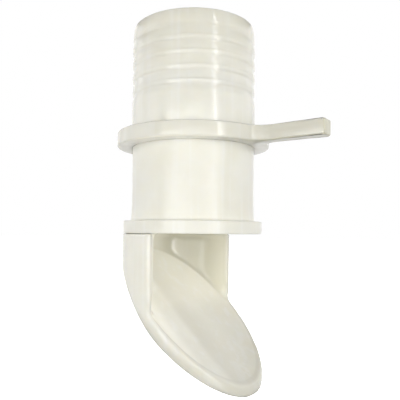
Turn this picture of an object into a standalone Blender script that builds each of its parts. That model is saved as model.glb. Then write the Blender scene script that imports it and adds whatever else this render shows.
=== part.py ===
"""Rotating scoop thru hull fitting for 38 mm hose, as an assembly of separate pieces.

A sleeve is bonded into a hole in the hull. Inside it turns a rotor: a scoop below the hull on a long neck, worked
by a lever ring above the hull. A hose tail swivels on the top of the neck, so the hose stays still when the lever
turns. Metres, +Z up into the boat. The origin is on the turning axis, in the plane where the sleeve's flange
meets the outside of the hull. At rest the lever and the scoop's mouth both point along +X.
"""

import math

import bmesh
import bpy
from mathutils import Matrix, Vector

MM = 0.001

# Fits
JOINT_GAP = 0.3 * MM            # seen between two pieces that meet face to face
RUNNING_CLEARANCE = 0.3 * MM    # between the neck and whatever turns on it
SEAL_CLEARANCE = 0.1 * MM       # round washers, clips, keys and O rings in their seats

# Sleeve, bonded into the hull
BARREL_RADIUS = 19.1 * MM
BARREL_HEIGHT = 22.5 * MM
BEARING_BORE = 17.1 * MM        # radius in which the neck sits, in the sleeve, the ring and the tail
FOOT_FLARE = 0.35 * MM          # the barrel widens by this much where it meets the flange
FOOT_HEIGHT = 5.0 * MM
FLANGE_WIDTH = 2.6 * MM
FLANGE_THICKNESS = 3.8 * MM
FLANGE_LIP = 0.9 * MM           # wall left outside the recess for the rotor's shoulder
RECESS_DEPTH = 2.6 * MM
WASHER_THICKNESS = 0.8 * MM
BARREL_LIP = 0.8 * MM           # wall left outside the seat for the upper washer

# Rotor: scoop, shoulder and neck in one moulding
NECK_WALL = 2.6 * MM
SCOOP_STEP = 0.2 * MM           # the scoop stands this far outside the flange
SCOOP_WALL = 2.3 * MM
CEILING_FILLET = 2.5 * MM
MOUTH_HEIGHT = 22.0 * MM        # from the flange down to the floor's rim, on the axis
FLOOR_SLOPE = math.radians(43.8)
FLOOR_HOLLOW = 2.2 * MM         # depth of the spoon in the floor, square to its rim
FLOOR_RIM = 0.9 * MM            # flat left round the spoon
FLOOR_THICKNESS = 5.5 * MM      # upright, on the axis, from the rim to the underside
TOE_STRETCH = 0.6 * MM          # how far the front edge reaches past the half tube's radius
TOE_INSET = 0.3 * MM            # how far the front half's sides stand in from it
UNDER_TOE_SLOPE = math.radians(41.4)
UNDER_HEEL_SLOPE = math.radians(48.2)

# Lever ring
RING_WIDTH = 4.7 * MM           # how far the ring stands out from the barrel
RING_THICKNESS = 4.4 * MM
LEVER_LENGTH = 20.2 * MM        # beyond the ring's rim
LEVER_WIDTH = 4.8 * MM
LEVER_ROOT_FILLET = 6.0 * MM
LEVER_TIP_ROUND = 1.2 * MM
RING_EDGE = 0.4 * MM
KEY_WIDTH = 3.0 * MM
KEY_DEPTH = 1.4 * MM            # into the neck, and again into the ring

# Hose tail
TAIL_LENGTH = 32.2 * MM
TAIL_CREST_RADIUS = 19.25 * MM
TAIL_LAND_STAND = 0.1 * MM      # the plain land over the beads' crests
TAIL_LAND_LENGTH = 9.7 * MM
TAIL_SOCKET_DEPTH = 15.3 * MM
BORE_STEP = 0.8 * MM            # the tail's bore over the neck's
TAIL_END_BAND = 4.86 * MM       # smooth length above the last bead's groove
BEAD_HEIGHT = 0.45 * MM
BEAD_COUNT = 4
END_TAPER = 0.6 * MM            # radius lost from the last bead to the end
END_ROUND = 0.3 * MM

# Seals and clips
O_RING_GLAND = 1.4 * MM
O_RING_WIDTH = 2.0 * MM
SLEEVE_SEAL_INSET = 4.2 * MM    # from each end of the sleeve's bearing bore to the middle of a seal
TAIL_SEAL_INSET = 4.2 * MM
TAIL_SEAL_PITCH = 3.8 * MM
CLIP_THICKNESS = 1.0 * MM
CLIP_DEPTH = 0.9 * MM           # groove depth in the neck, for both clips
CLIP_STAND = 0.8 * MM           # how far a clip stands out of the bearing bore
CLIP_OPENING = math.radians(36.0)
SNAP_RING_INSET = 3.0 * MM      # from the neck's top to the snap ring's lower face

ROUND_STEPS = 48
BOWL_STEPS = 40
BOWL_RINGS = 13
HALF_STEP = math.pi / ROUND_STEPS   # turns every round piece so that no corner lies in a cut's plane

# Radii and heights that follow from the sizes above
FLANGE_RADIUS = BARREL_RADIUS + FLANGE_WIDTH
SCOOP_RADIUS = FLANGE_RADIUS + SCOOP_STEP
CHAMBER_RADIUS = SCOOP_RADIUS - SCOOP_WALL
TOE_LENGTH = SCOOP_RADIUS + TOE_STRETCH
TOE_HALF_WIDTH = SCOOP_RADIUS - TOE_INSET
NECK_RADIUS = BEARING_BORE - RUNNING_CLEARANCE
WATER_BORE = NECK_RADIUS - NECK_WALL
GROOVE_FLOOR = BEARING_BORE - O_RING_GLAND
RING_RADIUS = BARREL_RADIUS + RING_WIDTH
LEVER_REACH = RING_RADIUS + LEVER_LENGTH
RING_BOTTOM = BARREL_HEIGHT + JOINT_GAP
RING_TOP = RING_BOTTOM + RING_THICKNESS
RING_MIDDLE = (RING_BOTTOM + RING_TOP) / 2
TAIL_BOTTOM = RING_TOP + JOINT_GAP
TAIL_TOP = TAIL_BOTTOM + TAIL_LENGTH
TAIL_BORE = WATER_BORE + BORE_STEP
BEAD_PITCH = (TAIL_LENGTH - TAIL_LAND_LENGTH - TAIL_END_BAND) / (BEAD_COUNT + 0.25)
SOCKET_TOP = TAIL_BOTTOM + TAIL_SOCKET_DEPTH
NECK_TOP = SOCKET_TOP - JOINT_GAP
RECESS_RADIUS = FLANGE_RADIUS - FLANGE_LIP
RECESS_CEILING = RECESS_DEPTH - FLANGE_THICKNESS
SHOULDER_RADIUS = RECESS_RADIUS - RUNNING_CLEARANCE
SHOULDER_TOP = RECESS_CEILING - WASHER_THICKNESS - 2 * SEAL_CLEARANCE
SHOULDER_BOTTOM = SEAL_CLEARANCE - FLANGE_THICKNESS
SCOOP_TOP = -FLANGE_THICKNESS - JOINT_GAP
FLOOR_DROP = FLANGE_THICKNESS + MOUTH_HEIGHT
UNDER_DROP = FLOOR_DROP + FLOOR_THICKNESS
WASHER_SEAT = RING_BOTTOM - WASHER_THICKNESS - 2 * SEAL_CLEARANCE
WASHER_BORE = BEARING_BORE + SEAL_CLEARANCE
LIP_BORE = BARREL_RADIUS - BARREL_LIP
CLIP_RADIUS = BEARING_BORE + CLIP_STAND
CLIP_FLOOR = NECK_RADIUS - CLIP_DEPTH
RING_CLIP_BOTTOM = RING_TOP + SEAL_CLEARANCE
SNAP_RING_BOTTOM = NECK_TOP - SNAP_RING_INSET
KEY_FLOOR = NECK_RADIUS - KEY_DEPTH
KEY_CROWN = BEARING_BORE + KEY_DEPTH
KEY_MIDDLE = (KEY_FLOOR + KEY_CROWN) / 2
SLEEVE_SEAL_HEIGHTS = (RECESS_CEILING + SLEEVE_SEAL_INSET, WASHER_SEAT - SLEEVE_SEAL_INSET)
TAIL_SEAL_HEIGHTS = (TAIL_BOTTOM + TAIL_SEAL_INSET, TAIL_BOTTOM + TAIL_SEAL_INSET + TAIL_SEAL_PITCH)

NYLON = (0.86, 0.84, 0.76, 1.0)
ACETAL = (0.80, 0.80, 0.77, 1.0)
RUBBER = (0.03, 0.03, 0.03, 1.0)
STEEL = (0.62, 0.61, 0.58, 1.0)


def clear_scene():
    for obj in list(bpy.data.objects):
        bpy.data.objects.remove(obj, do_unlink=True)


def material(name, colour, roughness, metallic=0.0):
    mat = bpy.data.materials.new(name)
    mat.use_nodes = True
    shader = mat.node_tree.nodes["Principled BSDF"]
    shader.inputs["Base Color"].default_value = colour
    shader.inputs["Roughness"].default_value = roughness
    shader.inputs["Metallic"].default_value = metallic
    return mat


def finish(name, bm, mat=None, parent=None):
    """Makes an object of a bmesh whose faces may still point either way."""
    bmesh.ops.recalc_face_normals(bm, faces=bm.faces)
    mesh = bpy.data.meshes.new(name)
    bm.to_mesh(mesh)
    bm.free()
    mesh.shade_smooth()
    mesh.set_sharp_from_angle(angle=math.radians(35.0))
    obj = bpy.data.objects.new(name, mesh)
    bpy.context.collection.objects.link(obj)
    obj.parent = parent
    if mat:
        mesh.materials.append(mat)
    return obj


def hide_tool(obj):
    obj.hide_render = True
    obj.display_type = "WIRE"
    return obj


def boolean(obj, tool, operation):
    mod = obj.modifiers.new(f"{operation.lower()}_{tool.name}", "BOOLEAN")
    mod.operation = operation
    mod.object = tool
    mod.solver = "EXACT"


def spin_profile(profile, start=HALF_STEP, sweep=math.tau):
    """Turns a closed profile of (radius, height) pairs about the Z axis."""
    bm = bmesh.new()
    turned = Matrix.Rotation(start, 3, "Z")
    verts = [bm.verts.new(turned @ Vector((radius, 0.0, height))) for radius, height in profile]
    face = bm.faces.new(verts)
    full = sweep >= math.tau
    steps = max(8, round(ROUND_STEPS * sweep / math.tau))
    if full:
        edges = list(face.edges)
        bmesh.ops.delete(bm, geom=[face], context="FACES_ONLY")
        bmesh.ops.spin(bm, geom=verts + edges, cent=(0, 0, 0), axis=(0, 0, 1), angle=sweep, steps=steps,
                       use_merge=True)
    else:
        bmesh.ops.spin(bm, geom=[face], cent=(0, 0, 0), axis=(0, 0, 1), angle=sweep, steps=steps)
    bmesh.ops.remove_doubles(bm, verts=bm.verts, dist=1e-7)
    return bm


def solid_of_revolution(outline):
    """Turns an outline that starts and ends on the axis into a closed solid."""
    bm = bmesh.new()
    turned = Matrix.Rotation(HALF_STEP, 3, "Z")
    verts = [bm.verts.new(turned @ Vector((radius, 0.0, height))) for radius, height in outline]
    edges = [bm.edges.new(pair) for pair in zip(verts, verts[1:])]
    bmesh.ops.spin(bm, geom=verts + edges, cent=(0, 0, 0), axis=(0, 0, 1), angle=math.tau, steps=ROUND_STEPS,
                   use_merge=True)
    bmesh.ops.remove_doubles(bm, verts=bm.verts, dist=1e-7)
    return bm


def box(size, centre, turn=Matrix.Identity(4)):
    bm = bmesh.new()
    place = turn @ Matrix.Translation(centre) @ Matrix.Diagonal((*size, 1.0))
    bmesh.ops.create_cube(bm, size=1.0, matrix=place)
    return bm


def arc(centre, radius, start_deg, end_deg, steps):
    angles = [math.radians(start_deg + (end_deg - start_deg) * i / steps) for i in range(steps + 1)]
    return [(centre[0] + radius * math.cos(a), centre[1] + radius * math.sin(a)) for a in angles]


def groove(radius, floor, bottom, width):
    """Profile points of a square groove in an outer wall, from its lower edge up."""
    return [(radius, bottom), (floor, bottom), (floor, bottom + width), (radius, bottom + width)]


# ---- Sleeve and washers -------------------------------------------------------------------------------------------

def make_sleeve(mat):
    profile = [
        (FLANGE_RADIUS, -FLANGE_THICKNESS),
        (FLANGE_RADIUS, 0.0),
        (BARREL_RADIUS + FOOT_FLARE, 0.0),
        (BARREL_RADIUS, FOOT_HEIGHT),
        (BARREL_RADIUS, BARREL_HEIGHT),
        (LIP_BORE, BARREL_HEIGHT),
        (LIP_BORE, WASHER_SEAT),
        (BEARING_BORE, WASHER_SEAT),
        (BEARING_BORE, RECESS_CEILING),
        (RECESS_RADIUS, RECESS_CEILING),
        (RECESS_RADIUS, -FLANGE_THICKNESS),
    ]
    return finish("hull_sleeve", spin_profile(profile), mat)


def make_washer(name, outer, seat, mat):
    """A flat washer lying just above its seat, round the neck."""
    bottom = seat + SEAL_CLEARANCE
    top = bottom + WASHER_THICKNESS
    profile = [(outer, bottom), (outer, top), (WASHER_BORE, top), (WASHER_BORE, bottom)]
    return finish(name, spin_profile(profile), mat)


# ---- Scoop --------------------------------------------------------------------------------------------------------

def o_ring_grooves(heights):
    points = []
    for height in heights:
        points += groove(NECK_RADIUS, GROOVE_FLOOR, height - O_RING_WIDTH / 2, O_RING_WIDTH)
    return points


def make_scoop_blank(mat, parent):
    """Neck with its grooves, the shoulder, and a solid drum that the scoop is cut from."""
    clip_room = CLIP_THICKNESS + 2 * SEAL_CLEARANCE
    drum_bottom = -UNDER_DROP - 2 * SCOOP_RADIUS
    outline = [(0.0, drum_bottom), (SCOOP_RADIUS, drum_bottom), (SCOOP_RADIUS, SCOOP_TOP),
               (SHOULDER_RADIUS, SCOOP_TOP), (SHOULDER_RADIUS, SHOULDER_TOP), (NECK_RADIUS, SHOULDER_TOP)]
    outline += o_ring_grooves(SLEEVE_SEAL_HEIGHTS)
    outline += groove(NECK_RADIUS, CLIP_FLOOR, RING_TOP, clip_room)
    outline += o_ring_grooves(TAIL_SEAL_HEIGHTS)
    outline += groove(NECK_RADIUS, CLIP_FLOOR, SNAP_RING_BOTTOM - SEAL_CLEARANCE, clip_room)
    outline += [(NECK_RADIUS, NECK_TOP), (0.0, NECK_TOP)]
    bm = solid_of_revolution(outline)
    shape_toe(bm)
    return finish("scoop", bm, mat, parent)


def shape_toe(bm):
    """Makes the drum's front half an oval: a little longer than it is wide."""
    wide = (SHOULDER_RADIUS + SCOOP_RADIUS) / 2
    drum = [v for v in bm.verts if v.co.x > 0.0 and v.co.xy.length > wide]
    for vert in drum:
        vert.co.x *= TOE_LENGTH / SCOOP_RADIUS
        vert.co.y *= TOE_HALF_WIDTH / SCOOP_RADIUS


def tilted(slope, drop):
    """The frame of a plane that falls towards +X, its height on the axis given."""
    return Matrix.Translation((0.0, 0.0, -drop)) @ Matrix.Rotation(slope, 4, "Y")


def room_above(name, slope, drop):
    """A large block whose lower face is a plane that falls towards +X."""
    size = 2 * (NECK_TOP + 6 * SCOOP_RADIUS)
    block = box((size, size, size), (0.0, 0.0, size / 2), tilted(slope, drop))
    return hide_tool(finish(name, block))


def make_floor_hollow():
    """The spoon in the floor: an oval bowl inside the rim, half of it above the floor's plane."""
    bm = bmesh.new()
    bowl = Matrix.Diagonal(((TOE_LENGTH - FLOOR_RIM) / math.cos(FLOOR_SLOPE), TOE_HALF_WIDTH - FLOOR_RIM,
                            FLOOR_HOLLOW, 1.0))
    turn = Matrix.Rotation(math.pi / BOWL_STEPS, 4, "Z")
    bmesh.ops.create_uvsphere(bm, u_segments=BOWL_STEPS, v_segments=BOWL_RINGS, radius=1.0,
                              matrix=tilted(FLOOR_SLOPE, FLOOR_DROP) @ bowl @ turn)
    return hide_tool(finish("floor_hollow", bm))


def make_flow_space():
    """The water's room: the bore, the chamber in the half tube, and everything in front above the floor."""
    chamber_bottom = -UNDER_DROP - 2.5 * SCOOP_RADIUS
    ceiling = SHOULDER_BOTTOM
    fillet = CEILING_FILLET
    fillet_arc = arc((CHAMBER_RADIUS - fillet, ceiling - fillet), fillet, 90.0, 0.0, 5)
    outline = [(0.0, NECK_TOP + JOINT_GAP), (WATER_BORE, NECK_TOP + JOINT_GAP), (WATER_BORE, ceiling)]
    outline += fillet_arc + [(CHAMBER_RADIUS, chamber_bottom), (0.0, chamber_bottom)]
    space = hide_tool(finish("flow_space", solid_of_revolution(outline)))

    reach = 2 * SCOOP_RADIUS
    front = box((reach, 2 * reach, ceiling - chamber_bottom), (reach / 2, 0.0, (ceiling + chamber_bottom) / 2))
    boolean(space, hide_tool(finish("mouth_space", front)), "UNION")

    above = room_above("room_above_floor", FLOOR_SLOPE, FLOOR_DROP)
    boolean(above, make_floor_hollow(), "UNION")
    boolean(space, above, "INTERSECT")
    return space


def make_key_seats():
    width = KEY_WIDTH + 2 * SEAL_CLEARANCE
    depth = KEY_CROWN - KEY_FLOOR
    height = RING_THICKNESS - SEAL_CLEARANCE
    seats = []
    for side, name in ((1, "left_key_seat"), (-1, "right_key_seat")):
        bm = box((width, depth, height), (0.0, side * KEY_MIDDLE, RING_MIDDLE))
        seats.append(hide_tool(finish(name, bm)))
    return seats


def make_scoop(mat, parent):
    scoop = make_scoop_blank(mat, parent)
    boolean(scoop, make_flow_space(), "DIFFERENCE")
    boolean(scoop, room_above("room_above_toe", UNDER_TOE_SLOPE, UNDER_DROP), "INTERSECT")
    boolean(scoop, room_above("room_above_heel", UNDER_HEEL_SLOPE, UNDER_DROP), "INTERSECT")
    for seat in make_key_seats():
        boolean(scoop, seat, "DIFFERENCE")
    return scoop


# ---- Lever ring and its keys --------------------------------------------------------------------------------------

def ring_outline():
    """Outline of the ring and its lever, anticlockwise from the lever's far corner."""
    half = LEVER_WIDTH / 2
    fillet = LEVER_ROOT_FILLET
    centre_y = half + fillet
    centre_x = math.sqrt((RING_RADIUS + fillet) ** 2 - centre_y ** 2)
    touch = math.degrees(math.atan2(centre_y, centre_x))
    tip = (LEVER_REACH - LEVER_TIP_ROUND, half - LEVER_TIP_ROUND)
    upper = arc(tip, LEVER_TIP_ROUND, 0.0, 90.0, 4)
    upper += arc((centre_x, centre_y), fillet, 270.0, 180.0 + touch, 6)
    rim = arc((0.0, 0.0), RING_RADIUS, touch, 360.0 - touch, ROUND_STEPS - 6)
    lower = [(x, -y) for x, y in reversed(upper)]
    return upper + rim[1:-1] + lower


def make_lever_ring(mat, parent):
    bm = bmesh.new()
    face = bm.faces.new([bm.verts.new((x, y, RING_BOTTOM)) for x, y in ring_outline()])
    raised = bmesh.ops.extrude_face_region(bm, geom=[face])
    top_verts = [item for item in raised["geom"] if isinstance(item, bmesh.types.BMVert)]
    bmesh.ops.translate(bm, verts=top_verts, vec=(0.0, 0.0, RING_THICKNESS))
    ring = finish("lever_ring", bm, mat, parent)
    edge = ring.modifiers.new("eased_edges", "BEVEL")
    edge.width = RING_EDGE
    edge.segments = 2
    edge.limit_method = "ANGLE"
    edge.angle_limit = math.radians(60.0)

    bottom = RING_BOTTOM - RING_THICKNESS
    top = RING_TOP + RING_THICKNESS
    outline = [(0.0, bottom), (BEARING_BORE, bottom), (BEARING_BORE, top), (0.0, top)]
    boolean(ring, hide_tool(finish("ring_bore", solid_of_revolution(outline))), "DIFFERENCE")
    depth = KEY_CROWN + SEAL_CLEARANCE - WATER_BORE
    size = (KEY_WIDTH + 2 * SEAL_CLEARANCE, depth, top - bottom)
    for side, name in ((1, "left_ring_slot"), (-1, "right_ring_slot")):
        slot = box(size, (0.0, side * (WATER_BORE + depth / 2), RING_MIDDLE))
        boolean(ring, hide_tool(finish(name, slot)), "DIFFERENCE")
    return ring


def make_keys(mat, parent):
    size = (KEY_WIDTH, KEY_CROWN - KEY_FLOOR - SEAL_CLEARANCE, RING_THICKNESS - 2 * SEAL_CLEARANCE)
    for side, name in ((1, "left_drive_key"), (-1, "right_drive_key")):
        finish(name, box(size, (0.0, side * KEY_MIDDLE, RING_MIDDLE)), mat, parent)


# ---- Seals and clips ----------------------------------------------------------------------------------------------

def make_o_ring(name, height, mat, parent):
    """An O ring squeezed to an oval between its groove and the bore round it."""
    radial = (O_RING_GLAND - 2 * SEAL_CLEARANCE) / 2
    axial = (O_RING_WIDTH - 2 * SEAL_CLEARANCE) / 2
    middle = (GROOVE_FLOOR + BEARING_BORE) / 2
    sides = 8
    profile = []
    for i in range(sides):
        angle = math.tau * i / sides
        profile.append((middle + radial * math.cos(angle), height + axial * math.sin(angle)))
    return finish(name, spin_profile(profile), mat, parent)


def make_seals(mat, parent):
    names = ("sleeve_lower_o_ring", "sleeve_upper_o_ring", "tail_lower_o_ring", "tail_upper_o_ring")
    for name, height in zip(names, SLEEVE_SEAL_HEIGHTS + TAIL_SEAL_HEIGHTS):
        make_o_ring(name, height, mat, parent)


def make_clip(name, bottom, mat, parent):
    inner = CLIP_FLOOR + SEAL_CLEARANCE
    top = bottom + CLIP_THICKNESS
    profile = [(CLIP_RADIUS, bottom), (CLIP_RADIUS, top), (inner, top), (inner, bottom)]
    bm = spin_profile(profile, start=CLIP_OPENING / 2, sweep=math.tau - CLIP_OPENING)
    return finish(name, bm, mat, parent)


# ---- Hose tail ----------------------------------------------------------------------------------------------------

def tail_outside():
    """Outer profile from the foot up: plain land, rounded beads, then a tapered end."""
    land = TAIL_CREST_RADIUS + TAIL_LAND_STAND
    valley = TAIL_CREST_RADIUS - BEAD_HEIGHT
    end = TAIL_CREST_RADIUS - END_TAPER
    start = TAIL_BOTTOM + TAIL_LAND_LENGTH
    quarter = BEAD_PITCH / 4
    points = [(land, TAIL_BOTTOM), (land, start)]
    for i in range(BEAD_COUNT):
        low = start + i * BEAD_PITCH + quarter
        points += [(valley, low), (TAIL_CREST_RADIUS, low + 1.2 * quarter),
                   (TAIL_CREST_RADIUS, low + 2.2 * quarter)]
    last = start + BEAD_COUNT * BEAD_PITCH + quarter
    points += [(valley, last), (valley + BEAD_HEIGHT / 2, last + quarter)]
    points += arc((end - END_ROUND, TAIL_TOP - END_ROUND), END_ROUND, 0.0, 90.0, 3)
    return points


def tail_inside():
    """Inner profile from the top down: bore, then the neck's socket with a groove for each clip."""
    clip_bore = CLIP_RADIUS + RUNNING_CLEARANCE
    snap_top = SNAP_RING_BOTTOM + CLIP_THICKNESS + RUNNING_CLEARANCE
    snap_bottom = SNAP_RING_BOTTOM - RUNNING_CLEARANCE
    relief_top = RING_CLIP_BOTTOM + CLIP_THICKNESS + RUNNING_CLEARANCE
    return [
        (TAIL_BORE, TAIL_TOP),
        (TAIL_BORE, SOCKET_TOP),
        (BEARING_BORE, SOCKET_TOP),
        (BEARING_BORE, snap_top),
        (clip_bore, snap_top),
        (clip_bore, snap_bottom),
        (BEARING_BORE, snap_bottom),
        (BEARING_BORE, relief_top),
        (clip_bore, relief_top),
        (clip_bore, TAIL_BOTTOM),
    ]


def make_hose_tail(mat, parent):
    return finish("hose_tail", spin_profile(tail_outside() + tail_inside()), mat, parent)


# ---- Assembly -----------------------------------------------------------------------------------------------------

def axis_empty(name, parent=None):
    empty = bpy.data.objects.new(name, None)
    bpy.context.collection.objects.link(empty)
    empty.parent = parent
    return empty


def main():
    clear_scene()
    nylon = material("natural_nylon", NYLON, 0.35)
    sleeve_nylon = material("sleeve_nylon", NYLON, 0.38)
    acetal = material("washer_acetal", ACETAL, 0.45)
    rubber = material("seal_rubber", RUBBER, 0.6)
    steel = material("stainless_steel", STEEL, 0.3, 1.0)

    rotor = axis_empty("rotor_axis")
    tail = axis_empty("tail_axis", rotor)

    make_sleeve(sleeve_nylon)
    make_washer("lower_thrust_washer", RECESS_RADIUS - SEAL_CLEARANCE, SHOULDER_TOP, acetal)
    make_washer("upper_thrust_washer", LIP_BORE - SEAL_CLEARANCE, WASHER_SEAT, acetal)
    make_scoop(nylon, rotor)
    make_lever_ring(nylon, rotor)
    make_keys(steel, rotor)
    make_seals(rubber, rotor)
    make_clip("ring_retaining_clip", RING_CLIP_BOTTOM, steel, rotor)
    make_clip("tail_snap_ring", SNAP_RING_BOTTOM, steel, rotor)
    make_hose_tail(nylon, tail)


main()
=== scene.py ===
"""Looks of a rotating scoop thru hull fitting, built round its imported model.

Metres. The turning axis is Z, the origin lies where the sleeve's flange meets the hull, and the
lever and the scoop's mouth point along +X.
"""

import math

import bmesh
import bpy
from mathutils import Matrix, Vector


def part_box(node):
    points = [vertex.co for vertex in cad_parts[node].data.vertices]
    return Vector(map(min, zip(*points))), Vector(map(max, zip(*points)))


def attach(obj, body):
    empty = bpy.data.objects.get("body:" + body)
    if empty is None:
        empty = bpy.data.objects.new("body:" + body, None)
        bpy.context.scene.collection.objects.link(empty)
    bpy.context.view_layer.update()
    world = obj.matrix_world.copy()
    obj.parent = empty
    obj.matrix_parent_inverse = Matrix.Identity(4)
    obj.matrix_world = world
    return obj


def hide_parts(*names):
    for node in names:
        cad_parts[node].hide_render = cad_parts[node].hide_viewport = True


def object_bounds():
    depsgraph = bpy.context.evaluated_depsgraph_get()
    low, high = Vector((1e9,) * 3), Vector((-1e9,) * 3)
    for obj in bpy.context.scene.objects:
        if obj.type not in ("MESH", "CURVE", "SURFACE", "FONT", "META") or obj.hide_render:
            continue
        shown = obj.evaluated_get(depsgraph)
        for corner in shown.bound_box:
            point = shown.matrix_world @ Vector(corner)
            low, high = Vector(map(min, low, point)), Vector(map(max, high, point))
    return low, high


MM = 0.001
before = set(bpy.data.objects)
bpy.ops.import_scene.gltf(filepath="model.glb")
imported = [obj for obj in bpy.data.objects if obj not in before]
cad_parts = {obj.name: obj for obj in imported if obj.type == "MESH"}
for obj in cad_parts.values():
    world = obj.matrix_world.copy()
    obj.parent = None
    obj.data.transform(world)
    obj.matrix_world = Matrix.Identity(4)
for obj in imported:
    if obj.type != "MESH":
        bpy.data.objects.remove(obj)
cad_low, cad_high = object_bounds()

# Sizes that several mouldings share
BEARING_RADIUS = 17.1 * MM      # the bore in which the neck turns
BORE_RADIUS = 14.2 * MM         # the water's way through the neck
SHOULDER_TOP = -2.2 * MM        # where the scoop ends and its neck begins
JOINT_CLOSING = 0.26 * MM       # how far the sleeve and the tail reach out to the ring past their CAD faces
MERGE = 0.001 * MM              # corners closer than this are one
NEAR = 0.02 * MM                # how close a corner lies to the edge that is asked for
TURN_STEPS = 192
DRUM_STEPS = 160


def cad(node):
    """Radius, lowest and highest height of a round CAD node."""
    low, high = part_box(node)
    return high.y, low.z, high.z


# ---- Shader helpers ------------------------------------------------------------------------------

class Value:
    """A number socket that adds its Math nodes as it is written into an expression."""

    def __init__(self, finish, socket):
        self.finish = finish
        self.socket = socket

    def _math(self, operation, a, b):
        made = self.finish.node("ShaderNodeMath", {"operation": operation}, [a, b])
        return Value(self.finish, made.outputs[0])

    def __add__(self, other):
        return self._math("ADD", self, other)

    def __radd__(self, other):
        return self._math("ADD", other, self)

    def __sub__(self, other):
        return self._math("SUBTRACT", self, other)

    def __rsub__(self, other):
        return self._math("SUBTRACT", other, self)

    def __mul__(self, other):
        return self._math("MULTIPLY", self, other)

    def __rmul__(self, other):
        return self._math("MULTIPLY", other, self)


class Finish:
    """One material's node tree, round its Principled shader."""

    def __init__(self, name):
        self.material = bpy.data.materials.new(name)
        self.material.use_nodes = True
        self.tree = self.material.node_tree
        self.shader = self.tree.nodes["Principled BSDF"]
        self.place = self.node("ShaderNodeTexCoord").outputs["Object"]

    def node(self, kind, settings=None, values=()):
        """Any node, with its settings made first and its sockets fed by name or in order."""
        made = self.tree.nodes.new(kind)
        for key, setting in (settings or {}).items():
            setattr(made, key, setting)
        pairs = values.items() if isinstance(values, dict) else enumerate(values)
        for key, value in pairs:
            self.feed(made.inputs[key], value)
        return made

    def feed(self, socket, value):
        if isinstance(value, Value):
            value = value.socket
        if isinstance(value, bpy.types.NodeSocket):
            self.tree.links.new(value, socket)
        else:
            socket.default_value = value

    def stretch(self, scale):
        """Object coordinates with a scale along each axis."""
        return self.node("ShaderNodeMapping", {}, {"Vector": self.place, "Scale": scale}).outputs[0]

    def noise(self, place, scale, detail=2.0, roughness=0.5):
        found = self.node("ShaderNodeTexNoise", {}, {"Vector": place, "Scale": scale, "Detail": detail,
                                                     "Roughness": roughness})
        return Value(self, found.outputs["Fac"])

    def ramp(self, value, low, high):
        """0 below low and 1 above high."""
        found = self.node("ShaderNodeMapRange", {"interpolation_type": "SMOOTHSTEP"},
                          {"Value": value, "From Min": low, "From Max": high})
        return Value(self, found.outputs["Result"])

    def mix(self, share, a, b):
        """A colour between a and b."""
        return self.node("ShaderNodeMix", {"data_type": "RGBA"}, {0: share, 6: a, 7: b}).outputs[2]

    def split(self, vector, axis):
        """One component of a vector."""
        return Value(self, self.node("ShaderNodeSeparateXYZ", {}, [vector]).outputs[axis])

    def length(self, vector, keep):
        """Length of a vector with only the kept components."""
        kept = self.node("ShaderNodeVectorMath", {"operation": "MULTIPLY"}, [vector, keep]).outputs[0]
        found = self.node("ShaderNodeVectorMath", {"operation": "LENGTH"}, [kept])
        return Value(self, found.outputs["Value"])

    def bump(self, height, strength, distance):
        values = {"Height": height, "Strength": strength, "Distance": distance}
        return self.node("ShaderNodeBump", {}, values).outputs[0]

    def glow(self, share, strength):
        """Painted light: an emission that makes the surface glow where share is 1."""
        self.set(emission_color=self.mix(share, BLACK, NYLON_PAINTED_GLOW), emission_strength=strength)

    def set(self, **values):
        """Feeds the shader's sockets, named in lower case with underscores."""
        for key, value in values.items():
            self.feed(self.shader.inputs[key.replace("_", " ").title()], value)


# ---- Materials -----------------------------------------------------------------------------------

WHITE = (1.0, 1.0, 1.0, 1.0)
BLACK = (0.0, 0.0, 0.0, 1.0)
NYLON_MILK = (0.925, 0.917, 0.866, 1.0)
NYLON_PALE = (0.885, 0.869, 0.778, 1.0)
NYLON_DEEP = (0.86, 0.838, 0.735, 1.0)
# A deeper nylon tone: the ring's own colour, and also painted shade on the lever and the scoop
NYLON_DEEP_TONE_AND_PAINTED_SHADE = (0.70, 0.68, 0.58, 1.0)
# Painted shade, mixed in where less light falls
NYLON_PAINTED_SHADE = (0.55, 0.53, 0.38, 1.0)
# The colour of the painted glow, an emission on parts that are no lamp
NYLON_PAINTED_GLOW = (1.0, 0.975, 0.88, 1.0)
ACETAL_PALE, ACETAL_DULL = (0.80, 0.80, 0.77, 1.0), (0.74, 0.74, 0.70, 1.0)
RUBBER_BLACK, RUBBER_BLOOM = (0.016, 0.016, 0.017, 1.0), (0.05, 0.05, 0.05, 1.0)
STEEL_LIGHT, STEEL_DARK = (0.60, 0.59, 0.57, 1.0), (0.47, 0.46, 0.45, 1.0)
PAPER_LIGHT, PAPER_DULL = (0.93, 0.93, 0.93, 1.0), (0.90, 0.90, 0.90, 1.0)
GLOSSY, SATIN = 0.12, 0.27      # roughness before the grain

# Stretches of height, of length along +X or of width along +Y over which a painted shade or a painted glow
# comes in
TAIL_PAINTED_GLOW_RISE = (26 * MM, 48 * MM)
TAIL_PAINTED_SHADE_RISE = (34 * MM, 60 * MM)
LEVER_ROOT = (20 * MM, 27 * MM)
LEVER_TIP_FACE = (43.3 * MM, 43.9 * MM)
RING_FRONT_LIT = (-18 * MM, -10 * MM)
RING_BACK_UNLIT = (-12 * MM, -2 * MM)
RING_BACK_PAINTED_SHADE = (-16 * MM, -10 * MM)
LEVER_UNDER_PAINTED_SHADE = (20 * MM, 26 * MM)
FLANGE_TOP = (-0.5 * MM, 0.5 * MM)
CHAMBER_RADIUS_EDGE = (20.0 * MM, 20.6 * MM)
CHAMBER_TOP = (-3.9 * MM, -3.6 * MM)
TROUGH_NEAR = (-9 * MM, -5.5 * MM)
TROUGH_FAR = (-5.5 * MM, 5 * MM)
FAR_WALL = (5 * MM, 11 * MM)
FAR_WALL_FRONT = (-8 * MM, -1 * MM)
FLOOR_BACK = (-18 * MM, 22 * MM)
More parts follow.
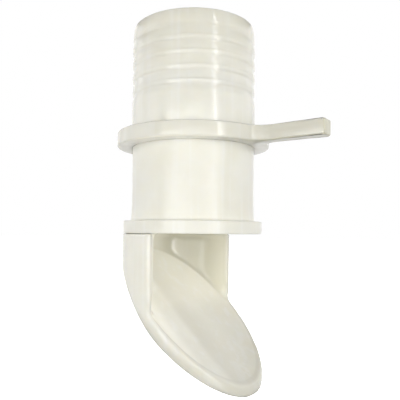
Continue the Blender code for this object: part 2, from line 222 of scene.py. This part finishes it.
NEAR_WALL = (-18 * MM, -12 * MM)
TOE_RISE = (-42 * MM, -26 * MM)

# These also bound where painted shade and painted glow fall
# Stretches of the normal's upward or forward part
FACES_UP = (0.35, 0.6)
FACES_DOWN_PAINTED_GLOW = (-0.9, -0.2)
FACES_DOWN_PAINTED_SHADE = (-0.9, -0.3)
FACES_FRONT = (0.8, 0.95)


def moulded_nylon(name, gloss, shade=None):
    """Natural nylon: milky, faintly cloudy, with flow and draw lines down its sides and a fine grain."""
    finish = Finish(name)
    clouds = finish.noise(finish.place, 90.0, 3.0, 0.6)
    draw = finish.noise(finish.stretch((1.0, 1.0, 0.05)), 900.0, 3.0, 0.6)
    sink = finish.noise(finish.stretch((1.0, 1.0, 0.04)), 190.0, 1.0, 0.5)
    grain = finish.noise(finish.place, 5200.0, 2.0, 0.5)
    wander = finish.noise(finish.place, 160.0, 2.0, 0.5)
    flow = finish.noise(finish.stretch((1.0, 1.0, 0.03)), 330.0, 2.0, 0.6)
    colour = finish.mix(finish.ramp(clouds, 0.35, 0.7), NYLON_PALE, NYLON_DEEP)
    colour = finish.mix(0.5 * finish.ramp(flow, 0.5, 0.68), colour, NYLON_MILK)
    # shade paints light and shade into the piece: painted shade in its colour and a painted glow
    if shade:
        colour = shade(finish, colour)
    relief = 0.5 * draw + 0.3 * grain + 3.0 * wander + 3.0 * sink
    finish.set(base_color=colour, roughness=gloss + 0.05 * wander + 0.03 * grain,
               normal=finish.bump(relief, 0.35, 0.05 * MM), subsurface_weight=0.35,
               subsurface_radius=(1.0, 0.9, 0.7), subsurface_scale=2.2 * MM)
    finish.shader.inputs["IOR"].default_value = 1.53
    return finish.material


def tail_painted_light_and_shade(finish, colour):
    """Painted light and shade at the tail's open end: a faint painted glow and a painted shade, both
    growing towards the top.
    """
    height = finish.split(finish.place, "Z")
    # Painted light: a faint glow towards the top
    finish.glow(finish.ramp(height, *TAIL_PAINTED_GLOW_RISE), 0.06)
    # Painted shade, deepening towards the top
    return finish.mix(0.2 * finish.ramp(height, *TAIL_PAINTED_SHADE_RISE), colour, NYLON_PAINTED_SHADE)


def ring_painted_light_and_shade(finish, colour):
    """A tone deeper all over, with painted shade on the lever towards its tip (streaked), on its tip face
    and under the ring's back and the lever, and a painted glow under the ring's front.
    """
    along, across = finish.split(finish.place, "X"), finish.split(finish.place, "Y")
    level = finish.split(finish.node("ShaderNodeNewGeometry").outputs["Normal"], "Z")
    streak = finish.noise(finish.stretch((0.08, 1.0, 1.0)), 1400.0, 2.0, 0.5)
    # Painted shade on the lever, streaked
    lever = finish.ramp(along, *LEVER_ROOT) * (0.2 + 0.5 * streak)
    colour = finish.mix(0.3 + lever, colour, NYLON_DEEP_TONE_AND_PAINTED_SHADE)
    # Painted shade on the tip's end face
    colour = finish.mix(0.6 * finish.ramp(along, *LEVER_TIP_FACE), colour, NYLON_PAINTED_SHADE)
    # Painted light: a glow on the ring's underside at the front
    lit = (1.0 - finish.ramp(across, *RING_FRONT_LIT)) * finish.ramp(along, *RING_BACK_UNLIT)
    finish.glow((1.0 - finish.ramp(level, *FACES_DOWN_PAINTED_GLOW)) * lit, 0.1)
    # Painted shade under the ring's back and under the lever
    painted_under_shade = 1.0 - finish.ramp(along, *RING_BACK_PAINTED_SHADE) + finish.ramp(along, *LEVER_UNDER_PAINTED_SHADE)
    return finish.mix(0.6 * painted_under_shade * (1.0 - finish.ramp(level, *FACES_DOWN_PAINTED_SHADE)), colour, NYLON_PAINTED_SHADE)


def sleeve_painted_light_and_shade(finish, colour):
    """Painted light and shade on the sleeve: a faint painted glow all over, strongest round the flange, and
    a painted shade on the flange.
    """
    flange = 1.0 - finish.ramp(finish.split(finish.place, "Z"), *FLANGE_TOP)
    # Painted light: a faint glow, strongest round the flange
    finish.glow(0.25 + 0.75 * flange, 0.05)
    # Painted shade on the flange
    return finish.mix(0.13 * flange, colour, NYLON_PAINTED_SHADE)


def scoop_painted_light_and_shade(finish, colour):
    """Painted shade along the floor's trough, on the chamber's walls, on the walls' front ends and round
    the toe, and a painted glow in the chamber.
    """
    height, along, across = (finish.split(finish.place, axis) for axis in "ZXY")
    normal = finish.node("ShaderNodeNewGeometry").outputs["Normal"]
    level, facing = finish.split(normal, "Z"), finish.split(normal, "X")
    floor = finish.ramp(level, *FACES_UP)
    inside = 1.0 - finish.ramp(finish.length(finish.place, (1.0, 1.0, 0.0)), *CHAMBER_RADIUS_EDGE)
    below = 1.0 - finish.ramp(height, *CHAMBER_TOP)
    chamber = inside * below
    # Painted shade: a darker band along the floor
    trough = finish.ramp(across, *TROUGH_NEAR) * (1.0 - finish.ramp(across, *TROUGH_FAR))
    colour = finish.mix(0.5 * trough * floor, colour, NYLON_DEEP_TONE_AND_PAINTED_SHADE)
    # Painted shade on the chamber's walls
    colour = finish.mix(0.6 * chamber * (1.0 - floor), colour, NYLON_PAINTED_SHADE)
    # Painted light: the chamber glows, on its near wall, its floor's back part and its walls, less at the
    # far wall's front
    far = finish.ramp(across, *FAR_WALL) * (1.0 - finish.ramp(along, *FAR_WALL_FRONT))
    back = 1.0 - finish.ramp(along, *FLOOR_BACK)
    near = 1.0 - finish.ramp(across, *NEAR_WALL)
    finish.glow(chamber * (0.5 * near + 0.8 * floor * back + (1.0 - floor) * (0.9 - 0.6 * far)), 0.2)
    # Painted shade on the walls' front-facing ends
    wall_end_shade = finish.ramp(facing, *FACES_FRONT) * below * (1.0 - inside)
    colour = finish.mix(0.6 * wall_end_shade, colour, NYLON_DEEP_TONE_AND_PAINTED_SHADE)
    # Painted shade round the toe, deepening towards the bottom
    toe = (1.0 - inside) * (1.0 - finish.ramp(height, *TOE_RISE))
    return finish.mix(0.35 * toe, colour, NYLON_DEEP_TONE_AND_PAINTED_SHADE)


def acetal(name):
    """White bearing plastic, turned and matt."""
    finish = Finish(name)
    turned = finish.noise(finish.place, 2600.0, 3.0, 0.6)
    finish.set(base_color=finish.mix(turned, ACETAL_PALE, ACETAL_DULL), roughness=0.38 + 0.15 * turned,
               normal=finish.bump(turned, 0.2, 0.03 * MM))
    return finish.material


def seal_rubber(name):
    """Black rubber with a faint bloom."""
    finish = Finish(name)
    bloom = finish.noise(finish.place, 700.0, 4.0, 0.65)
    finish.set(base_color=finish.mix(finish.ramp(bloom, 0.4, 0.75), RUBBER_BLACK, RUBBER_BLOOM),
               roughness=0.45 + 0.25 * bloom, normal=finish.bump(bloom, 0.3, 0.04 * MM))
    return finish.material


def stainless(name):
    """Drawn stainless steel."""
    finish = Finish(name)
    drawn = finish.noise(finish.stretch((1.0, 1.0, 14.0)), 900.0, 4.0, 0.7)
    finish.set(base_color=finish.mix(drawn, STEEL_LIGHT, STEEL_DARK), metallic=1.0,
               roughness=0.22 + 0.2 * drawn, normal=finish.bump(drawn, 0.25, 0.02 * MM))
    return finish.material


def floor_paper(name):
    """Plain white backing paper that looks evenly lit."""
    finish = Finish(name)
    fibre = finish.noise(finish.place, 60.0, 3.0, 0.6)
    finish.set(base_color=finish.mix(fibre, PAPER_LIGHT, PAPER_DULL), roughness=0.9,
               emission_color=WHITE, emission_strength=1.1)
    return finish.material


# ---- Mesh helpers --------------------------------------------------------------------------------

def shape(name, bm):
    """Merges doubles, turns the normals outwards and makes an object of the mesh."""
    bmesh.ops.remove_doubles(bm, verts=bm.verts, dist=MERGE)
    bmesh.ops.recalc_face_normals(bm, faces=bm.faces)
    mesh = bpy.data.meshes.new(name)
    bm.to_mesh(mesh)
    bm.free()
    made = bpy.data.objects.new(name, mesh)
    bpy.context.collection.objects.link(made)
    return made


def piece(name, bm, material, body, node, sharp=40.0):
    """Makes an object that rides on a body and stands for a CAD node."""
    made = shape(name, bm)
    made.data.shade_smooth()
    made.data.set_sharp_from_angle(angle=math.radians(sharp))
    made.data.materials.append(material)
    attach(made, body)
    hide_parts(node)


def spun(profile, steps, closed):
    """Turns a profile of (radius, height) corners about the axis."""
    bm = bmesh.new()
    verts = [bm.verts.new((radius, 0.0, height)) for radius, height in profile]
    following = verts[1:] + verts[:1] if closed else verts[1:]
    edges = [bm.edges.new(pair) for pair in zip(verts, following)]
    bmesh.ops.spin(bm, geom=verts + edges, cent=(0, 0, 0), axis=(0, 0, 1), angle=math.tau, steps=steps,
                   use_merge=True)
    return bm


def bevel(bm, edges, width, segments):
    """Rounds edges by a width."""
    bmesh.ops.bevel(bm, geom=edges, offset=width, segments=segments, profile=0.5, affect="EDGES",
                    material=-1, offset_type="OFFSET")


def ease(bm, radius, height, width, segments=4):
    """Rounds the circular edge at a radius and height of a turned piece."""
    def there(vert):
        return abs(vert.co.xy.length - radius) < NEAR and abs(vert.co.z - height) < NEAR
    bevel(bm, [e for e in bm.edges if all(there(v) for v in e.verts)], width, segments)


def turned(corners):
    """Turns corners of (radius, height, rounding) into a hollow piece and rounds those that ask for it."""
    bm = spun([corner[:2] for corner in corners], TURN_STEPS, closed=True)
    for radius, height, width in corners:
        if width:
            ease(bm, radius, height, width)
    return bm


def drum(outline):
    """Turns an outline that starts and ends on the axis into a solid, with no edge in the middle plane."""
    bm = spun(outline, DRUM_STEPS, closed=False)
    bmesh.ops.remove_doubles(bm, verts=bm.verts, dist=MERGE)
    half_step = Matrix.Rotation(math.pi / DRUM_STEPS, 3, "Z")
    bmesh.ops.rotate(bm, cent=(0, 0, 0), matrix=half_step, verts=bm.verts)
    return bm


# ---- Camera, light and floor ---------------------------------------------------------------------

VIEW_AZIMUTH = 35.5             # degrees, from the -Y side round towards the mouth
VIEW_DISTANCE = 158.5 * MM
VIEW_HEIGHT = -3.0 * MM
VIEW_ROLL = 0.5                 # degrees
LENS, SENSOR_WIDTH = 45.0, 36.0
SHIFT_X, SHIFT_Y = 0.01875, 0.0775
NEAR_LIGHT, FAR_LIGHT = 0.2, 0.7
ROOM_LIGHT = 0.09
FLOOR_GAP = 0.2 * MM
FLOOR_HALF_WIDTH = 3.0


def looking_back(azimuth, elevation=0.0):
    """The direction from the fitting to a camera or light."""
    a, e = math.radians(azimuth), math.radians(elevation)
    return Vector((math.sin(a) * math.cos(e), -math.cos(a) * math.cos(e), math.sin(e)))


def facing(back):
    """The rotation of a camera or light that looks at the fitting."""
    return (-back).to_track_quat("-Z", "Y").to_matrix().to_4x4()


def make_camera():
    back = looking_back(VIEW_AZIMUTH)
    data = bpy.data.cameras.new("view")
    data.lens = LENS
    data.sensor_width = SENSOR_WIDTH
    data.shift_x = SHIFT_X
    data.shift_y = SHIFT_Y
    data.clip_start = 10 * MM
    camera = bpy.data.objects.new("view", data)
    bpy.context.collection.objects.link(camera)
    place = Matrix.Translation(back * VIEW_DISTANCE + Vector((0.0, 0.0, VIEW_HEIGHT)))
    camera.matrix_world = place @ facing(back) @ Matrix.Rotation(math.radians(VIEW_ROLL), 4, "Z")
    bpy.context.scene.camera = camera


def softbox(name, azimuth, elevation, distance, size, watts):
    """A rectangular light that faces the fitting, its place given as the camera's is."""
    back = looking_back(azimuth, elevation)
    data = bpy.data.lights.new(name, "AREA")
    data.shape = "RECTANGLE"
    data.size, data.size_y = size
    data.energy = watts
    light = bpy.data.objects.new(name, data)
    bpy.context.collection.objects.link(light)
    light.matrix_world = Matrix.Translation(back * distance) @ facing(back)


def make_softboxes():
    small, tall, wide = (0.1, 0.1), (0.07, 0.8), (0.7, 0.7)
    softbox("front_box", VIEW_AZIMUTH, 2.0, NEAR_LIGHT, (0.12, 0.12), 0.08)
    softbox("front_left_box", VIEW_AZIMUTH - 30.0, 0.0, NEAR_LIGHT, small, 0.115)
    softbox("front_right_box", VIEW_AZIMUTH + 30.0, 0.0, NEAR_LIGHT, small, 0.078)
    softbox("right_strip", 74.0, 8.0, FAR_LIGHT, tall, 1.15)
    softbox("left_strip", -4.5, 8.0, FAR_LIGHT, (0.05, 0.8), 0.22)
    softbox("right_side", VIEW_AZIMUTH + 95.0, 5.0, FAR_LIGHT, wide, 1.6)
    softbox("left_side", VIEW_AZIMUTH - 95.0, 5.0, FAR_LIGHT, wide, 2.0)
    softbox("top_box", VIEW_AZIMUTH, 85.0, FAR_LIGHT, wide, 0.35)
    softbox("floor_bounce", VIEW_AZIMUTH, -85.0, FAR_LIGHT, wide, 0.95)
    softbox("back_right", VIEW_AZIMUTH + 145.0, 5.0, FAR_LIGHT, wide, 1.6)
    softbox("back_left", VIEW_AZIMUTH - 145.0, 5.0, FAR_LIGHT, wide, 1.6)


def make_room():
    """A dim room round the fitting, with a white sweep where the camera sees past it."""
    world = bpy.data.worlds.new("studio")
    world.use_nodes = True
    tree = world.node_tree
    room = tree.nodes["Background"]
    sweep = tree.nodes.new("ShaderNodeBackground")
    for background, strength in ((room, ROOM_LIGHT), (sweep, 1.0)):
        background.inputs["Color"].default_value = WHITE
        background.inputs["Strength"].default_value = strength
    seen = tree.nodes.new("ShaderNodeMixShader")
    path = tree.nodes.new("ShaderNodeLightPath")
    tree.links.new(path.outputs["Is Camera Ray"], seen.inputs[0])
    tree.links.new(room.outputs[0], seen.inputs[1])
    tree.links.new(sweep.outputs[0], seen.inputs[2])
    tree.links.new(seen.outputs[0], tree.nodes["World Output"].inputs["Surface"])
    bpy.context.scene.world = world


def make_floor():
    bm = bmesh.new()
    bmesh.ops.create_grid(bm, x_segments=1, y_segments=1, size=FLOOR_HALF_WIDTH,
                          matrix=Matrix.Translation((0.0, 0.0, cad_low.z - FLOOR_GAP)))
    mesh = bpy.data.meshes.new("floor")
    bm.to_mesh(mesh)
    bm.free()
    mesh.materials.append(floor_paper("floor_paper"))
    floor = bpy.data.objects.new("floor", mesh)
    bpy.context.collection.objects.link(floor)
    floor.visible_diffuse = False
    floor.visible_glossy = False
    floor.visible_shadow = False


# ---- Hose tail -----------------------------------------------------------------------------------

BAND_LENGTH = 9.94 * MM         # of the plain band at the tail's foot, with its step
BAND_STEP = 0.6 * MM
BARB_COUNT = 4
BARB_PITCH = 4.15 * MM
BARB_START, BARB_CREST, BARB_END = 0.25, 0.22, 0.56
VALLEY_ROUND, CREST_ROUND = 0.45 * MM, 0.8 * MM
SOCKET_GROOVE = 18.2 * MM       # radius of the snap ring's groove and of the relief over the ring
SNAP_GROOVE = (39.2 * MM, 40.8 * MM)
TAIL_BORE = 15.0 * MM
SOCKET_TOP = 42.8 * MM
RELIEF_TOP = 28.6 * MM


def make_tail(nylon):
    """A plain band, four barbs and a plain end, hollow for the neck and its seals."""
    radius, bottom, top = cad("hose_tail")
    bottom -= JOINT_CLOSING
    crest = radius - 0.1 * MM
    valley = crest - 0.32 * MM
    start = bottom + BAND_LENGTH
    corners = [(radius, bottom, 0.08 * MM), (radius, start - BAND_STEP, 0.7 * MM)]
    for i in range(BARB_COUNT):
        low = start + (i + BARB_START) * BARB_PITCH
        corners += [(valley, low, VALLEY_ROUND), (crest, low + BARB_CREST * BARB_PITCH, CREST_ROUND),
                    (crest, low + BARB_END * BARB_PITCH, CREST_ROUND)]
    last = start + (BARB_COUNT + BARB_START) * BARB_PITCH
    land = crest - 0.15 * MM
    corners += [(valley, last, VALLEY_ROUND), (land, last + 0.8 * MM, 0.5 * MM),
                (land, last + 2.6 * MM, 1.2 * MM), (crest - 0.6 * MM, top, 0.3 * MM),
                (TAIL_BORE, top, 0.8 * MM)]
    snap_low, snap_high = SNAP_GROOVE
    corners += [(TAIL_BORE, SOCKET_TOP, 0), (BEARING_RADIUS, SOCKET_TOP, 0), (BEARING_RADIUS, snap_high, 0),
                (SOCKET_GROOVE, snap_high, 0), (SOCKET_GROOVE, snap_low, 0), (BEARING_RADIUS, snap_low, 0),
                (BEARING_RADIUS, RELIEF_TOP, 0), (SOCKET_GROOVE, RELIEF_TOP, 0), (SOCKET_GROOVE, bottom, 0)]
    piece("tail_moulding", turned(corners), nylon, "tail", "hose_tail")


# ---- Sleeve --------------------------------------------------------------------------------------

FLANGE_WIDTH = 2.6 * MM
BARREL_FLARE = 0.35 * MM        # how much wider the barrel is at the flange
FLARE_TOP = 5.0 * MM
LIP_WIDTH = 0.8 * MM            # of the rim that stands round the upper washer
WASHER_SEAT_DROP = 0.7 * MM
RECESS_RADIUS = 20.8 * MM       # of the recess for the lower washer and the scoop's shoulder
RECESS_TOP = -1.2 * MM


def make_sleeve(nylon):
    """The flange and its barrel, with a rim round the upper washer."""
    flange, bottom, top = cad("hull_sleeve")
    seat = top - WASHER_SEAT_DROP
    top += JOINT_CLOSING
    barrel = flange - FLANGE_WIDTH
    lip = barrel - LIP_WIDTH
    corners = [(flange, bottom, 0.3 * MM), (flange, 0.0, 0.3 * MM), (barrel + BARREL_FLARE, 0.0, 0.25 * MM),
               (barrel, FLARE_TOP, 3.0 * MM), (barrel, top, 0.05 * MM), (lip, top, 0), (lip, seat, 0),
               (BEARING_RADIUS, seat, 0), (BEARING_RADIUS, RECESS_TOP, 0), (RECESS_RADIUS, RECESS_TOP, 0),
               (RECESS_RADIUS, bottom, 0.15 * MM)]
    piece("sleeve_moulding", turned(corners), nylon, "sleeve", "hull_sleeve")


# ---- Lever ring ----------------------------------------------------------------------------------

LEVER_HALF_WIDTH = 2.4 * MM
LEVER_FILLET = 6.0 * MM         # between the lever's sides and the ring
LEVER_CORNER_ROUND = 0.7 * MM
RING_TOP_ROUND, RING_UNDER_ROUND = 0.45 * MM, 0.6 * MM
BORE_EDGE_LIMIT = 18 * MM       # the edges inside this radius stay sharp
ARRIS_ANGLE = math.radians(60)
FILLET_STEPS = 14
BACK_STEPS = 96
MATCH = 0.01 * MM


def ring_outline(bm, radius, reach, level):
    """The outline of ring and lever: one half drawn from the tip to the back, then mirrored."""
    half, fillet = LEVER_HALF_WIDTH, LEVER_FILLET
    centre = Vector((math.sqrt((radius + fillet) ** 2 - (half + fillet) ** 2), half + fillet, 0.0))
    touch = centre * radius / (radius + fillet)
    tip = bm.verts.new((reach, half, level))
    last = bm.verts.new((centre.x, half, level))
    bm.edges.new((tip, last))
    start = 1.5 * math.pi
    sweep = math.atan2(touch.y - centre.y, touch.x - centre.x) % math.tau - start
    for i in range(1, FILLET_STEPS + 1):
        angle = start + sweep * i / FILLET_STEPS
        x, y = centre.x + fillet * math.cos(angle), centre.y + fillet * math.sin(angle)
        vert = bm.verts.new((x, y, level))
        bm.edges.new((last, vert))
        last = vert
    to_back = math.pi - math.atan2(touch.y, touch.x)
    bmesh.ops.spin(bm, geom=[last], cent=(0, 0, 0), axis=(0, 0, 1), angle=to_back,
                   steps=BACK_STEPS)
    bmesh.ops.mirror(bm, geom=bm.verts[:] + bm.edges[:], axis="Y", merge_dist=MATCH)
    bmesh.ops.remove_doubles(bm, verts=bm.verts, dist=MATCH)
    bm.edges.new(sorted((v for v in bm.verts if len(v.link_edges) == 1), key=lambda v: v.co.y))


def open_middle(bm, level):
    """Makes the outline's face a ring of faces round the bore."""
    bmesh.ops.contextual_create(bm, geom=bm.edges[:])
    bmesh.ops.create_circle(bm, cap_ends=False, segments=TURN_STEPS, radius=BEARING_RADIUS,
                            matrix=Matrix.Translation((0.0, 0.0, level)))
    outline = bm.faces[0]
    rim = list(outline.edges)
    bmesh.ops.delete(bm, geom=[outline], context="FACES_ONLY")
    inner = [e for e in bm.edges if e not in rim]
    bmesh.ops.bridge_loops(bm, edges=rim + inner)


def make_ring(nylon):
    """The ring and its lever, with larger rounds under them than over them."""
    low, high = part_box("lever_ring")
    bm = bmesh.new()
    ring_outline(bm, high.y, high.x, low.z)
    open_middle(bm, low.z)
    raised = bmesh.ops.extrude_face_region(bm, geom=bm.faces[:])
    bmesh.ops.translate(bm, vec=(0.0, 0.0, high.z - low.z),
                        verts=[v for v in raised["geom"] if isinstance(v, bmesh.types.BMVert)])

    def at_corner(vert):
        return abs(abs(vert.co.y) - LEVER_HALF_WIDTH) < MATCH and vert.co.x > high.x - MATCH
    bevel(bm, [e for e in bm.edges if all(at_corner(v) for v in e.verts)
               and abs(e.verts[0].co.z - e.verts[1].co.z) > 1 * MM], LEVER_CORNER_ROUND, 6)

    bmesh.ops.recalc_face_normals(bm, faces=bm.faces)
    arrises = [e for e in bm.edges if len(e.link_faces) == 2 and e.calc_face_angle(0.0) > ARRIS_ANGLE
               and all(v.co.xy.length > BORE_EDGE_LIMIT for v in e.verts)]
    lower = [e for e in arrises if max(v.co.z for v in e.verts) < low.z + 1 * MM]
    bevel(bm, [e for e in arrises if e not in lower], RING_TOP_ROUND, 4)
    bevel(bm, [e for e in lower if e.is_valid], RING_UNDER_ROUND, 5)
    piece("ring_moulding", bm, nylon, "rotor", "lever_ring")


# ---- Scoop ---------------------------------------------------------------------------------------

SCOOP_RADIUS = 21.9 * MM
SCOOP_TOP = -3.94 * MM
SHOULDER_RADIUS = 20.0 * MM     # inside the sleeve's recess
FRONT_LONGER, FRONT_NARROWER = 22.5 / 21.9, 21.6 / 21.9
SKIN_LIMIT = 21 * MM            # what lies outside this radius is the scoop's skin
CEILING = -3.7 * MM
CHAMBER_RADIUS = 19.6 * MM
CHAMBER_FILLET = 2.5 * MM
MOUTH_START = 0.7 * MM          # the half tube's walls end here
FLOOR_DROP = 25.8 * MM          # how far under the origin a sloping plane meets the axis
FLOOR_SLOPE = math.radians(43.8)
FLOOR_HOLLOW = (22.2 * MM, 21.3 * MM, 2.2 * MM)
UNDER_DROP = 31.3 * MM
TOE_DROP, TOE_SLOPE = UNDER_DROP + 2.45 * MM, math.radians(39.0)
HEEL_DROP, HEEL_SLOPE = UNDER_DROP + 2.2 * MM, math.radians(48.2)
BLANK_BOTTOM, SPACE_BOTTOM = -110 * MM, -100 * MM
BORE_REACH = 5 * MM             # how far up the bore is cut
MOUTH_LENGTH, MOUTH_WIDTH = 120 * MM, 200 * MM
HOLLOW_SEGMENTS, HOLLOW_RINGS = 96, 49
VOXEL = 0.36 * MM

# Heights over the floor's plane and lengths along +X that bound what is relaxed more than the rest
RIM_BELOW, RIM_FRONT = 1.5 * MM, -3 * MM
UNDER_BELOW = -2.2 * MM
CORNER_LOW, CORNER_HIGH, CORNER_BACK, CORNER_RADIUS = -3 * MM, 4 * MM, 5 * MM, 20.8 * MM
WHOLE_ROUNDS, RIM_ROUNDS, UNDER_ROUNDS, CORNER_ROUNDS = 6, 26, 110, 30


def cut(made, other, operation):
    """Adds a Boolean of another shape."""
    mod = made.modifiers.new(other.name, "BOOLEAN")
    mod.operation = operation
    mod.object = other
    mod.solver = "EXACT"


def settled(made, cutters):
    """The object's mesh with its modifiers worked out, as a bmesh. Removes the object and its cutters."""
    found = bmesh.new()
    found.from_object(made, bpy.context.evaluated_depsgraph_get())
    for gone in (made, *cutters):
        mesh = gone.data
        bpy.data.objects.remove(gone)
        bpy.data.meshes.remove(mesh)
    return found


def tilted(slope, drop):
    """The frame of a plane that falls towards +X and meets the axis at a depth."""
    return Matrix.Translation((0.0, 0.0, -drop)) @ Matrix.Rotation(slope, 4, "Y")


def room_above(name, slope, drop):
    """A block whose lower face is a plane that falls towards +X."""
    size = 300 * MM
    lift = Matrix.Translation((0.0, 0.0, size / 2))
    bm = bmesh.new()
    bmesh.ops.create_cube(bm, size=size, matrix=tilted(slope, drop) @ lift)
    return shape(name, bm)


def scoop_blank():
    """A round bar with the hidden shoulder on top, a little longer and narrower in front."""
    bm = drum([(0.0, BLANK_BOTTOM), (SCOOP_RADIUS, BLANK_BOTTOM), (SCOOP_RADIUS, SCOOP_TOP),
               (SHOULDER_RADIUS, SCOOP_TOP), (SHOULDER_RADIUS, SHOULDER_TOP), (0.0, SHOULDER_TOP)])
    for vert in bm.verts:
        if vert.co.x > 0.0 and vert.co.xy.length > SKIN_LIMIT:
            vert.co.x *= FRONT_LONGER
            vert.co.y *= FRONT_NARROWER
    return shape("scoop_blank", bm)


def mouth_space():
    """A block in front of the half tube's walls, under the ceiling."""
    centre = Matrix.Translation((MOUTH_START + MOUTH_LENGTH / 2, 0.0, (CEILING + SPACE_BOTTOM) / 2))
    size = Matrix.Diagonal((MOUTH_LENGTH, MOUTH_WIDTH, CEILING - SPACE_BOTTOM, 1.0))
    bm = bmesh.new()
    bmesh.ops.create_cube(bm, size=1.0, matrix=centre @ size)
    return shape("mouth_space", bm)


def floor_hollow():
    """A flat ellipsoid that dishes the floor."""
    long_half, half_width, depth = FLOOR_HOLLOW
    bowl = Matrix.Diagonal((long_half / math.cos(FLOOR_SLOPE), half_width, depth, 1.0))
    turn = Matrix.Rotation(math.pi / HOLLOW_SEGMENTS, 4, "Z")
    bm = bmesh.new()
    bmesh.ops.create_uvsphere(bm, u_segments=HOLLOW_SEGMENTS, v_segments=HOLLOW_RINGS, radius=1.0,
                              matrix=tilted(FLOOR_SLOPE, FLOOR_DROP) @ bowl @ turn)
    return shape("floor_hollow", bm)


def flow_space():
    """The bore, the chamber in the half tube, and everything in front above the floor."""
    bm = drum([(0.0, BORE_REACH), (BORE_RADIUS, BORE_REACH), (BORE_RADIUS, CEILING),
               (CHAMBER_RADIUS, CEILING), (CHAMBER_RADIUS, SPACE_BOTTOM), (0.0, SPACE_BOTTOM)])
    ease(bm, CHAMBER_RADIUS, CEILING, CHAMBER_FILLET, segments=6)
    space = shape("flow_space", bm)
    mouth = mouth_space()
    cut(space, mouth, "UNION")
    above = room_above("room_above_floor", FLOOR_SLOPE, FLOOR_DROP)
    hollow = floor_hollow()
    cut(above, hollow, "UNION")
    cut(space, above, "INTERSECT")
    return space, [mouth, above, hollow]


def relax(bm, verts, rounds):
    """Moves each corner halfway to the mean of its neighbours, in rounds."""
    for _ in range(rounds):
        bmesh.ops.smooth_vert(bm, verts=verts, factor=0.5, use_axis_x=True, use_axis_y=True,
                              use_axis_z=True)


def make_scoop(nylon):
    """The half tube with its sloping floor and toe, cut out of the blank, evened and relaxed."""
    blank = scoop_blank()
    space, parts = flow_space()
    toe = room_above("room_above_toe", TOE_SLOPE, TOE_DROP)
    heel = room_above("room_above_heel", HEEL_SLOPE, HEEL_DROP)
    cut(blank, space, "DIFFERENCE")
    cut(blank, toe, "INTERSECT")
    cut(blank, heel, "INTERSECT")
    remesh = blank.modifiers.new("even_mesh", "REMESH")
    remesh.mode = "VOXEL"
    remesh.voxel_size = VOXEL
    bm = settled(blank, [space, toe, heel] + parts)

    above_floor = tilted(FLOOR_SLOPE, FLOOR_DROP).inverted()
    heights = {v: (above_floor @ v.co).z for v in bm.verts}
    rim = [v for v, height in heights.items() if height < RIM_BELOW and v.co.x > RIM_FRONT]
    under = [v for v, height in heights.items() if height < UNDER_BELOW]
    corner = [v for v, height in heights.items() if CORNER_LOW < height < CORNER_HIGH
              and v.co.x < CORNER_BACK and v.co.xy.length < CORNER_RADIUS]
    relax(bm, bm.verts, WHOLE_ROUNDS)
    relax(bm, rim, RIM_ROUNDS)
    relax(bm, under, UNDER_ROUNDS)
    relax(bm, corner, CORNER_ROUNDS)
    piece("scoop_moulding", bm, nylon, "rotor", "scoop", sharp=180.0)


NECK_RADIUS = 16.8 * MM
NECK_TOP = 42.5 * MM
SEAL_FLOOR, CLIP_FLOOR = 15.7 * MM, 15.9 * MM
NECK_GROOVES = (
    (SEAL_FLOOR, 2.0 * MM, 4.0 * MM),
    (SEAL_FLOOR, 16.6 * MM, 18.6 * MM),
    (CLIP_FLOOR, 27.2 * MM, 28.4 * MM),
    (SEAL_FLOOR, 30.7 * MM, 32.7 * MM),
    (SEAL_FLOOR, 34.5 * MM, 36.5 * MM),
    (CLIP_FLOOR, 39.4 * MM, 40.6 * MM),
)


def make_neck(nylon):
    """The scoop's neck, with its grooves for the seals and clips."""
    corners = [(NECK_RADIUS, SHOULDER_TOP, 0)]
    for floor, low, high in NECK_GROOVES:
        corners += [(NECK_RADIUS, low, 0), (floor, low, 0), (floor, high, 0), (NECK_RADIUS, high, 0)]
    corners += [(NECK_RADIUS, NECK_TOP, 0.4 * MM), (BORE_RADIUS, NECK_TOP, 0.4 * MM),
                (BORE_RADIUS, SHOULDER_TOP, 0)]
    piece("neck_moulding", turned(corners), nylon, "rotor", "scoop")


# ---- Parts that show their CAD shape -------------------------------------------------------------

CAD_FINISHES = (
    (acetal, "washer_acetal_turned",
     ("lower_thrust_washer", "upper_thrust_washer")),
    (stainless, "clip_stainless",
     ("tail_snap_ring", "ring_retaining_clip", "left_drive_key", "right_drive_key")),
    (seal_rubber, "seal_rubber_moulded",
     ("sleeve_lower_o_ring", "sleeve_upper_o_ring", "tail_lower_o_ring", "tail_upper_o_ring")),
)


def finish_cad_parts():
    """Gives the washers, clips, keys and seals their materials."""
    for make, name, nodes in CAD_FINISHES:
        material = make(name)
        for node in nodes:
            for material_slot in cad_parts[node].material_slots:
                material_slot.material = material


# ---- The build -----------------------------------------------------------------------------------

make_camera()
make_softboxes()
make_room()
make_floor()
make_tail(moulded_nylon("tail_nylon_moulded", GLOSSY, tail_painted_light_and_shade))
make_sleeve(moulded_nylon("sleeve_nylon_moulded", SATIN, sleeve_painted_light_and_shade))
make_ring(moulded_nylon("ring_nylon_moulded", GLOSSY, ring_painted_light_and_shade))
make_scoop(moulded_nylon("scoop_nylon_moulded", GLOSSY, scoop_painted_light_and_shade))
make_neck(moulded_nylon("natural_nylon_moulded", GLOSSY))
finish_cad_parts()

bpy.context.scene.view_settings.view_transform = "Standard"
